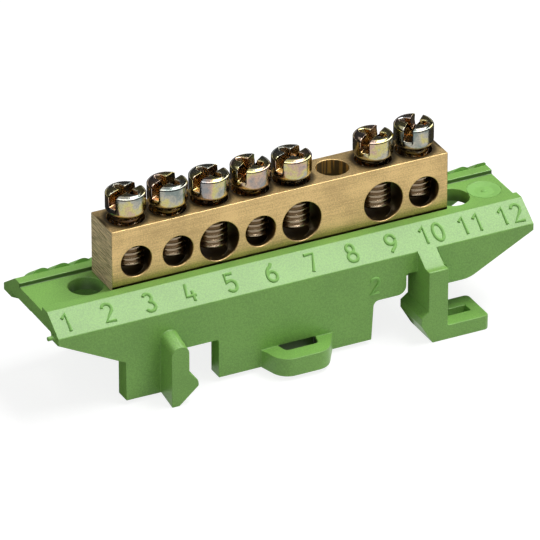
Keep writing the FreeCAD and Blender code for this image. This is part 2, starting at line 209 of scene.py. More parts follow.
class Finishes(bpy.types.PropertyGroup):
    """Colours of the finishes."""

    green: FloatVectorProperty(
        name="Green moulding", description="Colour of the polypropylene", size=3, min=0, max=1,
        default=(0.222, 0.465, 0.092), subtype="COLOR")
    brass: FloatVectorProperty(
        name="Brass", description="Colour of the drawn brass", size=3, min=0, max=1,
        default=(0.60, 0.425, 0.19), subtype="COLOR")
    zinc: FloatVectorProperty(
        name="Zinc", description="Colour of the passivated zinc between its tints", size=3, min=0, max=1,
        default=(0.43, 0.41, 0.34), subtype="COLOR")


class Studio(bpy.types.PropertyGroup):
    """Where the camera and the lamps stand."""

    azimuth: FloatProperty(
        name="Azimuth", description="Turn of the camera round the part from its front",
        default=math.radians(-26.5), subtype="ANGLE", unit="ROTATION")
    elevation: FloatProperty(
        name="Elevation", description="Height of the camera over the horizon",
        default=math.radians(29.3), subtype="ANGLE", unit="ROTATION")
    distance: FloatProperty(
        name="Distance", description="Distance of the camera from the part",
        default=0.95, subtype="DISTANCE", unit="LENGTH")
    lens: FloatProperty(
        name="Lens", description="Focal length of the camera in millimetres", default=472.0)
    aim_x: FloatProperty(
        name="Aim across", description="Point that the camera looks at, along the bar",
        default=0.38 * MM, precision=5, subtype="DISTANCE", unit="LENGTH")
    aim_z: FloatProperty(
        name="Aim height", description="Height of the point that the camera looks at",
        default=9.78 * MM, precision=5, subtype="DISTANCE", unit="LENGTH")
    key_power: FloatProperty(
        name="Key power", description="Power of the overhead softbox in watts", default=4.6)
    arch_level: FloatProperty(
        name="Arch level", description="Brightness of the arched light that the screws mirror", default=5.0)
    skirt_level: FloatProperty(
        name="Skirt level",
        description="Brightness of the hood's skirt that bright metal mirrors", default=0.06)
    hood_level: FloatProperty(
        name="Hood level",
        description="Brightness of the hood's crown that bright metal mirrors", default=0.9)
    fill_level: FloatProperty(
        name="Fill level", description="Brightness of the room round the part", default=0.36)


class Value:
    """One output in a node tree. Arithmetic on it adds Math nodes."""

    def __init__(self, tree, socket):
        self.tree = tree
        self.socket = socket

    def math(self, operation, *values):
        return self.tree.add("ShaderNodeMath", {"operation": operation}, values)

    def __add__(self, other):
        return self.math("ADD", self, other)

    __radd__ = __add__

    def __sub__(self, other):
        return self.math("SUBTRACT", self, other)

    def __rsub__(self, other):
        return self.math("SUBTRACT", other, self)

    def __mul__(self, other):
        return self.math("MULTIPLY", self, other)

    __rmul__ = __mul__

    def size(self):
        """The value without its sign."""
        return self.math("ABSOLUTE", self)


class Tree:
    """A node tree being built."""

    def __init__(self, node_tree):
        self.node_tree = node_tree
        node_tree.nodes.clear()

    def add(self, kind, settings=None, values=(), out=0):
        """Adds a node of a kind, sets it up, then gives its sockets values or links."""
        node = self.node_tree.nodes.new(kind)
        for name, value in (settings or {}).items():
            if name == "stops":
                ramp = node.color_ramp
                while len(ramp.elements) < len(value):
                    ramp.elements.new(1.0)
                for element, (position, colour) in zip(ramp.elements, value):
                    element.position = position
                    element.color = (*colour, 1.0)
            else:
                setattr(node, name, value)
        pairs = values.items() if isinstance(values, dict) else enumerate(values)
        for key, value in pairs:
            if isinstance(value, Value):
                self.node_tree.links.new(value.socket, node.inputs[key])
            else:
                node.inputs[key].default_value = value
        return Value(self, node.outputs[out]) if node.outputs else None


class Finish(Tree):
    """A material being built round one glossy shader."""

    def __init__(self, name):
        self.material = bpy.data.materials.new(name)
        self.material.use_nodes = True
        super().__init__(self.material.node_tree)

    def coordinates(self, kind="Object"):
        return self.add("ShaderNodeTexCoord", out=kind)

    def stretched(self, place, scale, turn=(0, 0, 0)):
        """Coordinates scaled and turned, for marks that run one way."""
        return self.add("ShaderNodeMapping", None, {"Vector": place, "Scale": scale, "Rotation": turn})

    def axes(self, place):
        """The three parts of a vector."""
        return [self.add("ShaderNodeSeparateXYZ", None, {0: place}, out) for out in range(3)]

    def off_screws(self, x, y):
        """Distance from the upright axis of the nearest of the bar's positions."""
        half = POSITION_PITCH / 2
        aside = x.math("WRAP", x, FIRST_X + half, FIRST_X - half) - FIRST_X
        return aside.math("SQRT", aside * aside + y * y)

    def noise(self, place, scale, detail=3.0, roughness=0.55):
        return self.add(
            "ShaderNodeTexNoise", None,
            {"Vector": place, "Scale": scale, "Detail": detail, "Roughness": roughness})

    def between(self, value, low, high):
        """A value's run from low to high, as 0 to 1."""
        return self.add(
            "ShaderNodeMapRange", {"interpolation_type": "SMOOTHSTEP"},
            {"Value": value, "From Min": low, "From Max": high})

    def blend(self, factor, first, second):
        """A colour between two colours."""
        return self.add("ShaderNodeMix", {"data_type": "RGBA"}, {0: factor, 6: first, 7: second}, out=2)

    def ramp(self, factor, stops):
        return self.add("ShaderNodeValToRGB", {"stops": stops}, {"Fac": factor})

    def bump(self, height, distance, strength=1.0):
        return self.add(
            "ShaderNodeBump", None, {"Height": height, "Distance": distance, "Strength": strength})

    def surface(self, **sockets):
        """Ends the material in its shader. An underscore in a name stands for a space."""
        shader = self.add(
            "ShaderNodeBsdfPrincipled", None,
            {name.replace("_", " "): value for name, value in sockets.items()})
        self.add("ShaderNodeOutputMaterial", None, {"Surface": shader})
        return self.material


def opaque(colour):
    return (*colour, 1.0)


def shaded(colour, factor):
    return tuple(channel * factor for channel in colour)


def green_moulding(colour):
    """Satin polypropylene with a faint flow mottle and a fine grain, with painted shade at the foot of the
    rim's inner wall, in the fixing holes and in the loop slot.
    """
    finish = Finish("green_moulding")
    place = finish.coordinates()
    mottle = finish.noise(place, 160.0, 2.0)
    grain = finish.noise(place, 5200.0, 2.0)
    tone = finish.between(mottle * 0.3 + grain * 0.7, 0.35, 0.65)
    body = finish.blend(tone, opaque(shaded(colour, 0.86)), opaque(shaded(colour, 1.12)))
    relief = grain * 0.7 + finish.noise(place, 1500.0, 2.0) * 0.6
    x, y, z = finish.axes(place)
    # Painted shade: a dark line at the foot of the rim's inner wall, where the channel floor meets it.
    rim_foot_shade = (finish.between(y, RIM_INNER_Y - 0.12 * MM, RIM_INNER_Y - 0.04 * MM)
              * finish.between(y, RIM_INNER_Y + 0.14 * MM, RIM_INNER_Y + 0.06 * MM)
              * finish.between(z, RIM_Z - 0.02 * MM, RIM_Z - 0.12 * MM)
              * finish.between(z, FLOOR_Z - 0.06 * MM, FLOOR_Z - 0.02 * MM))
    # Painted shade: the walls of the fixing holes darken with depth.
    aside = (x - MIDDLE_X).size() - FIXING_X
    off_hole = aside.math("SQRT", aside * aside + y * y)
    fixing_hole_shade = (finish.between(off_hole, FIXING_R + 0.2 * MM, FIXING_R + 0.1 * MM)
            * finish.between(z, FLOOR_Z - 0.05 * MM, FLOOR_Z - 1.6 * MM))
    # Painted shade: the inside of the loop slot is darkened almost to black.
    loop_slot_shade = (finish.between((x - LOOP_X).size(), 3.1 * MM, 2.95 * MM)
               * finish.between(y, -LIP_Y - 1.75 * MM, -LIP_Y - 1.55 * MM)
               * finish.between(y, -LIP_Y + 1.0 * MM, -LIP_Y + 0.7 * MM)
               * finish.between(z, LOOP_TOP_Z - 0.08 * MM, LOOP_TOP_Z - 0.6 * MM))
    shadowed = finish.blend(rim_foot_shade, body, opaque(shaded(colour, 0.3)))
    holed = finish.blend(fixing_hole_shade, shadowed, opaque(shaded(colour, 0.42)))
    return finish.surface(
        Base_Color=finish.blend(loop_slot_shade, holed, opaque(shaded(colour, 0.12))),
        Roughness=grain * 0.08 + 0.36, IOR=1.49, Normal=finish.bump(relief, 0.012 * MM))


def drawn_brass(colour):
    """Brass with a sandy drawn skin and slanting saw marks on its ends, with painted shade deep in the
    bores, round the screws' feet and along the bar's foot, and bore walls streaked with drilling marks and
    painted reflections.
    """
    finish = Finish("drawn_brass")
    place = finish.coordinates()
    x, y, z = finish.axes(place)
    end_facing, _, top_facing = finish.axes(finish.coordinates("Normal"))
    from_end = bar_high.x - MIDDLE_X - (x - MIDDLE_X).size()
    on_end = finish.between(end_facing.size(), 0.8, 0.95) * finish.between(from_end, 0.2 * MM, 0.1 * MM)
    inside = (finish.between(bar_high.y - y.size(), 0.12 * MM, 0.3 * MM)
              * finish.between(from_end, 0.12 * MM, 0.3 * MM))
    on_top = finish.between(z, BAR_TOP_Z - 0.05 * MM, BAR_TOP_Z - 0.02 * MM)
    at_plain = finish.between((x - PLAIN_X).size(), POSITION_PITCH * 0.5, POSITION_PITCH * 0.47)
    # Painted shade: the top darkens round each screw's foot, for the heads' contact shadow and dark
    # reflections, but not round the plain hole.
    screw_foot_shade = (on_top * (1.0 - at_plain)
            * finish.between(finish.off_screws(x, y), 3.6 * MM, 2.75 * MM))
    on_wall = inside * finish.between(top_facing.size(), 0.7, 0.3)
    # Painted shade: the bores darken from about 1.9 mm below the top downwards.
    deep_bore_shade = inside * finish.between(BAR_TOP_Z - z, 1.9 * MM, 2.25 * MM)
    # Painted shade: a dark line along the bar's foot just over the rim, left off the sawn ends; it is
    # joined with the shade round the screws' feet.
    bar_foot_shade = finish.between(z, RIM_Z + 0.2 * MM, RIM_Z + 0.06 * MM) * (1.0 - on_end)
    painted_shade = bar_foot_shade.math("MAXIMUM", bar_foot_shade, screw_foot_shade * 0.9)
    plain_wall = on_wall * at_plain
    grain = finish.noise(place, 5200.0, 3.0, 0.65)
    draw_lines = finish.noise(finish.stretched(place, (60.0, 5000.0, 5000.0)), 1.0, 3.0)
    stains = finish.noise(place, 260.0, 4.0)
    saw_marks = finish.noise(
        finish.stretched(place, (1.0, 400.0, 6500.0), (math.radians(38), 0, 0)), 1.0, 3.0, 0.7)
    # Bore walls streaked along their length from dark to bright gold: drilling marks, and painted
    # reflections.
    bore_streaks_and_glints = finish.noise(finish.stretched(place, (1400.0, 1400.0, 60.0)), 1.0, 2.0)
    tone = finish.between(grain * 0.5 + stains * 0.28 + draw_lines * 0.22, 0.4, 0.6)
    side = finish.blend(tone, opaque(shaded(colour, 0.74)), opaque(shaded(colour, 1.16)))
    sawn = finish.blend(
        finish.between(saw_marks, 0.35, 0.65), opaque((0.33, 0.25, 0.13)), opaque((0.98, 0.76, 0.46)))
    walled = finish.blend(
        on_wall, side, finish.blend(
            finish.between(bore_streaks_and_glints, 0.46, 0.6), opaque(shaded(colour, 0.3)), opaque((0.8, 0.47, 0.12))))
    skin = finish.blend(on_end, walled, sawn)
    dark = finish.blend(deep_bore_shade, skin, opaque(shaded(colour, 0.3)))
    side_relief = grain * 0.8 + draw_lines * 0.35
    relief = side_relief + on_end * (saw_marks * 3.6 - side_relief)
    # Metallic is lowered on the plain hole's walls so that their painted gold reflection shows.
    return finish.surface(
        Base_Color=finish.blend(painted_shade, dark, opaque(shaded(colour, 0.1))),
        Metallic=1.0 - on_end * 0.85 - on_top * 0.15 - plain_wall * 0.6,
        Roughness=grain * 0.14 + on_end * 0.3 + on_top * 0.08 + 0.3,
        Normal=finish.bump(relief, 0.010 * MM))


def plated_zinc(colour):
    """Bright zinc with the yellow, pink and grey green tints of its passivation, oily on the thread, and a
    painted orange reflection of the brass in its slot and cross recess.
    """
    finish = Finish("plated_zinc")
    place = finish.coordinates()
    x, y, z = finish.axes(place)
    film = finish.noise(place, 190.0, 6.0, 0.6)
    grain = finish.noise(place, 6000.0, 3.0, 0.7)
    dents = finish.noise(place, 1500.0, 2.0)
    tint = finish.ramp(film, (
        (0.36, (0.22, 0.26, 0.24)),
        (0.44, tuple(colour)),
        (0.50, (0.58, 0.52, 0.20)),
        (0.56, (0.52, 0.37, 0.28)),
        (0.64, (0.27, 0.27, 0.27)),
    ))
    mottled = finish.blend(finish.between(grain, 0.3, 0.7), opaque((0.05, 0.05, 0.05)), tint)
    normal = finish.axes(finish.coordinates("Normal"))
    walls = finish.between(normal[2].size(), 0.75, 0.5)
    deep = finish.between(z, BAR_TOP_Z + 2.5 * MM, BAR_TOP_Z + 2.3 * MM)
    recess = (walls.math("MAXIMUM", walls, deep)
              * finish.between(z, BAR_TOP_Z + 1.2 * MM, BAR_TOP_Z + 1.5 * MM)
              * finish.between(finish.off_screws(x, y), 2.66 * MM, 2.4 * MM))
    # Painted reflection: the walls and floor of the slot and cross recess are tinted orange for the brass
    # they mirror.
    brass_reflection = finish.between(dents, 0.35, 0.65) * 0.5 + 0.15
    plated = finish.blend(recess * brass_reflection, finish.blend(0.72, mottled, tint), opaque((0.66, 0.37, 0.13)))
    oily = finish.between(z, BAR_TOP_Z + 0.1 * MM, BAR_TOP_Z - 0.2 * MM)
    turned = finish.noise(finish.stretched(place, (300.0, 300.0, 9000.0)), 1.0, 2.0)
    return finish.surface(
        Base_Color=finish.blend(oily, plated, opaque((0.33, 0.26, 0.18))), Metallic=1.0,
        Roughness=grain * 0.12 + oily * 0.06 + 0.1,
        Normal=finish.bump(grain * 0.9 + turned * 0.6 + dents * 3.0, 0.006 * MM))


def plain_mesh(piece):
    """Applies a piece's modifiers, or turns a curve into a mesh."""
    view = bpy.context.evaluated_depsgraph_get()
    view.update()
    return bpy.data.meshes.new_from_object(piece.evaluated_get(view), depsgraph=view)


def new_piece(name, mesh):
    """Puts a mesh in the scene as an object at the origin."""
    piece = bpy.data.objects.new(name, mesh)
    bpy.context.scene.collection.objects.link(piece)
    return piece


def settle(piece):
    """Turns a piece's modifiers into a plain mesh of its own."""
    mesh = plain_mesh(piece)
    spent = piece.data
    piece.modifiers.clear()
    piece.data = mesh
    mesh.name = piece.name
    if spent.users == 0:
        bpy.data.meshes.remove(spent)
    return mesh


def finished(piece, material, sharp_angle=35.0):
    """Gives a piece a plain mesh, one material, and smooth shading that keeps flat faces flat."""
    mesh = settle(piece)
    mesh.materials.clear()
    mesh.materials.append(material)
    mesh.shade_smooth()
    mesh.set_sharp_from_angle(angle=math.radians(sharp_angle))
    weighted = piece.modifiers.new("normals", "WEIGHTED_NORMAL")
    weighted.keep_sharp = True
    settle(piece)
    return piece


def merge_flat(shell):
    """Joins faces within a small angle of one plane, up to the seams."""
    bmesh.ops.dissolve_limit(
        shell, angle_limit=FLAT_ANGLE, use_dissolve_boundaries=False,
        verts=shell.verts, edges=shell.edges, delimit={"NORMAL", "SEAM"})


def softened_copy(name, node, width, sharpest, left_out, halvings, material):
    """A copy of a CAD node, its edges over an angle rounded, which then stands for the node.

    The planes in halvings, each a point and a normal, run through the middles of the holes.
    They cut a face with a hole in two, because a face round a hole can fold over when its
    edges are rounded. They lessen such folds and don't rule them out.
    """
    shell = bmesh.new()
    shell.from_mesh(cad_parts[node].data)
    for point, normal in halvings:
        cut = bmesh.ops.bisect_plane(
            shell, geom=shell.verts[:] + shell.edges[:] + shell.faces[:],
            dist=ON_PLANE, plane_co=point, plane_no=normal)
        for item in cut["geom_cut"]:
            if isinstance(item, bmesh.types.BMEdge):
                item.seam = True
    bmesh.ops.remove_doubles(shell, verts=shell.verts, dist=SAME_POINT)
    merge_flat(shell)
    weight = shell.edges.layers.float.new("bevel_weight_edge")
    for edge in shell.edges:
        is_sharp = edge.calc_face_angle(0) > math.radians(sharpest)
        if is_sharp and not any(left_out(end.co) for end in edge.verts):
            edge[weight] = 1.0
    mesh = bpy.data.meshes.new(name)
    shell.to_mesh(mesh)
    shell.free()
    piece = new_piece(name, mesh)
    bevel = piece.modifiers.new("edges", "BEVEL")
    bevel.width = width
    bevel.segments = 2
    bevel.limit_method = "WEIGHT"
    bevel.use_clamp_overlap = False
    finished(piece, material)
    low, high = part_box(node)
    for vertex in piece.data.vertices:
        vertex.co = [min(max(value, low[i]), high[i]) for i, value in enumerate(vertex.co)]
    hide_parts(node)
    return piece


def under_ribs(point):
    """Whether a point lies on the carrier's ribbed rear strip."""
    return point.y > RIM_Y and point.z > LIP_Z - 1.5 * MM


def nowhere(point):
    """No point at all."""
    return False


def arc(centre, radius, start, end, steps=14):
    """Points round part of an ellipse, from one angle in degrees to another."""
    points = []
    for i in range(steps + 1):
        angle = math.radians(start + (end - start) * i / steps)
        points.append((centre[0] + radius[0] * math.cos(angle), centre[1] + radius[1] * math.sin(angle)))
    return points


# Strokes of each figure on a body 0.56 wide and 1 high, as a draughtsman's stencil has them
FIGURES = {
    "0": [arc((0.28, 0.5), (0.27, 0.5), 90, 450, 24)],
    "1": [[(0.10, 0.76), (0.34, 1.0), (0.34, 0.0)]],
    "2": [arc((0.28, 0.73), (0.26, 0.27), 165, -32) + [(0.02, 0.0), (0.56, 0.0)]],
    "3": [arc((0.27, 0.77), (0.22, 0.23), 150, -80) + arc((0.27, 0.27), (0.27, 0.27), 80, -155)],
    "4": [[(0.16, 1.0), (0.02, 0.3), (0.56, 0.3)], [(0.40, 0.56), (0.40, 0.0)]],
    "5": [[(0.50, 1.0), (0.08, 1.0), (0.04, 0.52)] + arc((0.27, 0.31), (0.27, 0.31), 115, -150)],
    "6": [
        [(0.42, 1.0)] + arc((0.60, 0.33), (0.58, 0.60), 118, 176, 8)
        + arc((0.28, 0.28), (0.26, 0.28), 180, 530, 22)],
    "7": [[(0.02, 1.0), (0.54, 1.0), (0.22, 0.0)]],
    "8": [arc((0.28, 0.76), (0.20, 0.24), 270, 630, 22), arc((0.28, 0.26), (0.27, 0.26), 90, 450, 24)],
    "9": [
        arc((0.28, 0.72), (0.26, 0.28), 0, 350, 22)
        + arc((-0.04, 0.67), (0.58, 0.60), -4, -62, 8) + [(0.14, 0.0)]],
}
FIGURE_WIDTH = 0.56
FIGURE_GAP = 0.26


def number_mesh(text, height, stroke):
    """A number in round strokes, centred on the origin and lying in the X and Y plane."""
    curve = bpy.data.curves.new("number " + text, "CURVE")
    curve.dimensions = "3D"
    curve.bevel_depth = stroke
    curve.bevel_resolution = 2
    curve.use_fill_caps = True
    width = len(text) * FIGURE_WIDTH + (len(text) - 1) * FIGURE_GAP
    for place, figure in enumerate(text):
        left = place * (FIGURE_WIDTH + FIGURE_GAP) - width / 2
        for stroke_points in FIGURES[figure]:
            spline = curve.splines.new("POLY")
            spline.points.add(len(stroke_points) - 1)
            for point, (x, y) in zip(spline.points, stroke_points):
                point.co = ((left + x) * height, (y - 0.5) * height, 0, 1)
    lettering = bpy.data.objects.new("number", curve)
    bpy.context.scene.collection.objects.link(lettering)
    mesh = plain_mesh(lettering)
    bpy.data.objects.remove(lettering)
    bpy.data.curves.remove(curve)
    return mesh


def node_inputs(modifier, values):
    """Sets a Geometry Nodes modifier's inputs, named as in the tree, by their identifiers."""
    for item in modifier.node_group.interface.items_tree:
        if item.item_type == "SOCKET" and item.in_out == "INPUT" and item.name in values:
            modifier[item.identifier] = values[item.name]


def geometry_tree(name, inputs):
    """A new Geometry Nodes tree with a geometry in and out and the named inputs."""
    group = bpy.data.node_groups.new(name, "GeometryNodeTree")
    group.interface.new_socket("Geometry", in_out="INPUT", socket_type="NodeSocketGeometry")
    for label, kind in inputs:
        group.interface.new_socket(label, in_out="INPUT", socket_type=kind)
    group.interface.new_socket("Geometry", in_out="OUTPUT", socket_type="NodeSocketGeometry")
    tree = Tree(group)
    source = group.nodes.new("NodeGroupInput")
    return group, tree, {socket.name: Value(tree, socket) for socket in source.outputs if socket.name}


def repeat_tree():
    """Geometry Nodes that set one shape out in a row along X."""
    group, tree, given = geometry_tree("repeat_along_bar", [
        ("Count", "NodeSocketInt"), ("Pitch", "NodeSocketFloat"), ("Material", "NodeSocketMaterial")])
    step = tree.add("ShaderNodeCombineXYZ", None, {"X": given["Pitch"]})
    row = tree.add(
        "GeometryNodeMeshLine", {"mode": "OFFSET"}, {"Count": given["Count"], "Offset": step})
    placed = tree.add("GeometryNodeInstanceOnPoints", None, {"Points": row, "Instance": given["Geometry"]})
    real = tree.add("GeometryNodeRealizeInstances", None, {"Geometry": placed})
    dressed = tree.add("GeometryNodeSetMaterial", None, {"Geometry": real, "Material": given["Material"]})
    tree.add("NodeGroupOutput", None, {"Geometry": dressed})
    return group


def screw_tree():
    """Geometry Nodes that wind a thread under a screw's head, then turn and place the screw."""
    group, tree, given = geometry_tree("threaded_screw", [
        ("Root Radius", "NodeSocketFloat"), ("Thread Radius", "NodeSocketFloat"),
        ("Thread Pitch", "NodeSocketFloat"), ("Turns", "NodeSocketFloat"),
        ("Thread Foot", "NodeSocketFloat"), ("Slot Turn", "NodeSocketFloat"),
        ("Place", "NodeSocketVector"), ("Material", "NodeSocketMaterial")])
    depth = given["Thread Radius"] - given["Root Radius"]
    helix = tree.add("GeometryNodeCurveSpiral", None, {
        "Resolution": 40, "Rotations": given["Turns"], "Start Radius": given["Root Radius"],
        "End Radius": given["Root Radius"], "Height": given["Turns"] * given["Thread Pitch"]})
    level = tree.add("GeometryNodeSetCurveNormal", {"mode": "Z_UP"}, {"Curve": helix})
    ridge = tree.add("GeometryNodeCurvePrimitiveQuadrilateral", {"mode": "POINTS"}, {
        "Point 1": tree.add(
            "ShaderNodeCombineXYZ", None, {"X": depth * -1.0, "Y": given["Thread Pitch"] * 0.08}),
        "Point 2": tree.add(
            "ShaderNodeCombineXYZ", None, {"X": depth * -1.0, "Y": given["Thread Pitch"] * -0.08}),
        "Point 3": tree.add(
            "ShaderNodeCombineXYZ", None, {"X": depth * 0.12, "Y": given["Thread Pitch"] * -0.48}),
        "Point 4": tree.add(
            "ShaderNodeCombineXYZ", None, {"X": depth * 0.12, "Y": given["Thread Pitch"] * 0.48})})
    thread = tree.add(
        "GeometryNodeCurveToMesh", None, {"Curve": level, "Profile Curve": ridge, "Fill Caps": True})
    lowered = tree.add("GeometryNodeTransform", None, {
        "Geometry": thread,
        "Translation": tree.add("ShaderNodeCombineXYZ", None, {"Z": given["Thread Foot"]})})
    join = group.nodes.new("GeometryNodeJoinGeometry")
    for part in (given["Geometry"], lowered):
        group.links.new(part.socket, join.inputs[0])
    placed = tree.add("GeometryNodeTransform", None, {
        "Geometry": Value(tree, join.outputs[0]), "Translation": given["Place"],
        "Rotation": tree.add("ShaderNodeCombineXYZ", None, {"Z": given["Slot Turn"]})})
    real = tree.add("GeometryNodeRealizeInstances", None, {"Geometry": placed})
    dressed = tree.add("GeometryNodeSetMaterial", None, {"Geometry": real, "Material": given["Material"]})
    tree.add("NodeGroupOutput", None, {"Geometry": dressed})
    return group


def turned_mesh(name, profile, steps):
    """A closed solid turned round Z from (radius, z) points, the first and last on the axis."""
    shell = bmesh.new()
    rings = []
    for radius, z in profile:
        if radius == 0:
            rings.append([shell.verts.new((0, 0, z))])
            continue
        rings.append([
            shell.verts.new((radius * math.cos(angle), radius * math.sin(angle), z))
            for angle in (math.tau * i / steps for i in range(steps))])
    for lower, upper in zip(rings, rings[1:]):
        for i in range(steps):
            j = (i + 1) % steps
            corners = [
                lower[i % len(lower)], lower[j % len(lower)],
                upper[j % len(upper)], upper[i % len(upper)]]
            shell.faces.new(list(dict.fromkeys(corners)))
    bmesh.ops.recalc_face_normals(shell, faces=shell.faces)
    mesh = bpy.data.meshes.new(name)
    shell.to_mesh(mesh)
    shell.free()
    return mesh


def merge_close(mesh, distance):
    """Joins points that lie closer together than a distance."""
    shell = bmesh.new()
    shell.from_mesh(mesh)
    bmesh.ops.remove_doubles(shell, verts=shell.verts, dist=distance)
    shell.to_mesh(mesh)
    shell.free()


def tapered_block(name, width, top_span, floor_span, top_z, floor_z, point=0.0):
    """A cutter as wide as width in X, as long in Y as its spans, its ends drawn to a point."""
    shell = bmesh.new()
    levels = []
    for z, span in ((floor_z, floor_span), (top_z, top_span)):
        tip = span / 2
        shoulder = tip - point
        levels.append([shell.verts.new((x * width / 2, y, z)) for x, y in (
            (-1, -shoulder), (0, -tip), (1, -shoulder), (1, shoulder), (0, tip), (-1, shoulder))])
    shell.faces.new(levels[0])
    shell.faces.new(levels[1])
    for i in range(6):
        j = (i + 1) % 6
        shell.faces.new((levels[0][i], levels[0][j], levels[1][j], levels[1][i]))
    bmesh.ops.recalc_face_normals(shell, faces=shell.faces)
    mesh = bpy.data.meshes.new(name)
    shell.to_mesh(mesh)
    shell.free()
    return new_piece(name, mesh)


def screw_blank(sizes, shank_length):
    """A screw's head with its slot, its cross recess and the plain core below it."""
    rounding = []
    steps = 8
    for i in range(steps + 1):
        angle = sizes.crown_start + (math.pi / 2 - sizes.crown_start) * i / steps
        rounding.append((
            sizes.head_radius - sizes.top_round * (math.cos(sizes.crown_start) - math.cos(angle)),
            sizes.head_height - sizes.top_round * (1 - math.sin(angle))))
    tip = 0.35 * MM
    flare = sizes.head_radius - sizes.foot_radius
    profile = [
        (0, -shank_length), (sizes.root_radius - tip, -shank_length),
        (sizes.root_radius, -shank_length + tip), (sizes.root_radius, -sizes.neck_height),
        (sizes.foot_radius, -sizes.neck_height), (sizes.foot_radius, 0),
        (sizes.foot_radius + flare * 0.5, sizes.foot_height * 0.38),
        (sizes.foot_radius + flare * 0.8, sizes.foot_height * 0.66),
        (sizes.foot_radius + flare * 0.95, sizes.foot_height * 0.88),
        (sizes.head_radius, sizes.foot_height * 1.1),
    ] + rounding + [(0, sizes.head_height)]
    blank = new_piece("screw_blank", turned_mesh("screw_blank", profile, 72))
    over = 0.5 * MM
    top = sizes.head_height + over
    slot = tapered_block(
        "slot_cutter", sizes.slot_width, 3 * sizes.head_radius, 3 * sizes.head_radius,
        top, sizes.head_height - sizes.slot_depth)
    slot.data.transform(Matrix.Rotation(math.pi / 2, 4, "Z"))
    slope = (sizes.cross_span - sizes.cross_floor_span) / sizes.cross_depth
    cross = tapered_block(
        "cross_cutter", sizes.cross_width, sizes.cross_span + slope * over, sizes.cross_floor_span,
        top, sizes.head_height - sizes.cross_depth, sizes.cross_width / 2)
    for cutter in (slot, cross):
        cut = blank.modifiers.new(cutter.name, "BOOLEAN")
        cut.operation = "DIFFERENCE"
        cut.solver = "EXACT"
        cut.object = cutter
    settle(blank)
    for spare in (slot, cross):
        spare_mesh = spare.data
        bpy.data.objects.remove(spare)
        bpy.data.meshes.remove(spare_mesh)
    merge_close(blank.data, 0.05 * MM)
    bevel = blank.modifiers.new("edges", "BEVEL")
    bevel.width = sizes.edge_break
    bevel.segments = 3
    bevel.limit_method = "ANGLE"
    bevel.angle_limit = math.radians(50)
    bevel.use_clamp_overlap = False
    mesh = settle(blank)
    bpy.data.objects.remove(blank)
    return mesh


class EARTHBAR_OT_carrier(bpy.types.Operator):
    """Round the carrier's edges and give it its green finish"""

    bl_idname = "earthbar.carrier"
    bl_label = "Green carrier"

    def execute(self, context):
        scene = context.scene
        material = green_moulding(scene.earthbar_finishes.green)
        halvings = (
            ((0, 0, 0), (0, 1, 0)), ((LOOP_X, 0, 0), (1, 0, 0)),
            ((0, FOOT_Y, 0), (0, 1, 0)), ((0, -FOOT_Y, 0), (0, 1, 0)))
        piece = softened_copy(
            "carrier_moulding", "carrier", scene.earthbar_carrier.edge_round, CARRIER_SHARPEST,
            under_ribs, halvings, material)
        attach(piece, CARRIER_BODY)
        return {"FINISHED"}


class EARTHBAR_OT_ribs(bpy.types.Operator):
    """Lay rounded ribs down the carrier's rear slanted strip"""

    bl_idname = "earthbar.ribs"
    bl_label = "Rear ribs"

    def execute(self, context):
        sizes = context.scene.earthbar_carrier
        crown = sizes.rib_height
        radius = (sizes.rib_width ** 2 / 4 + crown ** 2) / (2 * crown)
        reach = math.asin(sizes.rib_width / 2 / radius)
        ends = []
        for y in (RIM_Y + 0.2 * MM, LIP_Y + 0.04 * MM):
            z = RIM_Z - (y - RIM_Y) * math.tan(STRIP_ANGLE)
            ends.append([
                Vector((radius * math.sin(angle), y, z + (radius * math.cos(angle) - radius + crown)
                        / math.cos(STRIP_ANGLE)))
                for angle in (reach * (i / 6 - 1) for i in range(13))])
        shell = bmesh.new()
        rows = []
        for points in ends:
            low = min(point.z for point in points) - 0.1 * MM
            outline = points + [
                Vector((points[-1].x, points[-1].y, low)), Vector((points[0].x, points[0].y, low))]
            rows.append([shell.verts.new(point) for point in outline])
        count = len(rows[0])
        for i in range(count):
            j = (i + 1) % count
            shell.faces.new((rows[0][i], rows[0][j], rows[1][j], rows[1][i]))
        for row in rows:
            shell.faces.new(row)
        bmesh.ops.recalc_face_normals(shell, faces=shell.faces)
        left = MIDDLE_X - STRIP_HALF_LENGTH + sizes.rib_inset
        bmesh.ops.translate(shell, verts=shell.verts, vec=(left, 0, 0))
        mesh = bpy.data.meshes.new("rib")
        shell.to_mesh(mesh)
        shell.free()
        piece = new_piece("rear_ribs", mesh)
        material = bpy.data.materials["green_moulding"]
        modifier = piece.modifiers.new("row", "NODES")
        modifier.node_group = repeat_tree()
        node_inputs(modifier, {"Count": sizes.rib_count, "Pitch": sizes.rib_pitch, "Material": material})
        finished(piece, material)
        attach(piece, CARRIER_BODY)
        return {"FINISHED"}


class EARTHBAR_OT_dish(bpy.types.Operator):
    """Hollow the round recess of the carrier's floor into a dish with a pip in it"""

    bl_idname = "earthbar.dish"
    bl_label = "Dish"

    def execute(self, context):
        profile = [
            (0, -0.36), (2.33, -0.36), (2.33, -0.02), (2.2, -0.04),
            (1.9, -0.11), (1.6, -0.2), (1.35, -0.26)]
        profile += [(1.2, -0.27), (1.1, -0.24), (0.42, -0.24), (0.36, -0.14), (0.22, -0.05), (0, -0.02)]
        mesh = turned_mesh("floor_dish", [(radius * MM, z * MM) for radius, z in profile], 48)
        mesh.transform(Matrix.Translation((MIDDLE_X + DISH_X, 0, FLOOR_Z)))
        piece = new_piece("floor_dish", mesh)
        finished(piece, bpy.data.materials["green_moulding"], 50.0)
        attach(piece, CARRIER_BODY)
        return {"FINISHED"}


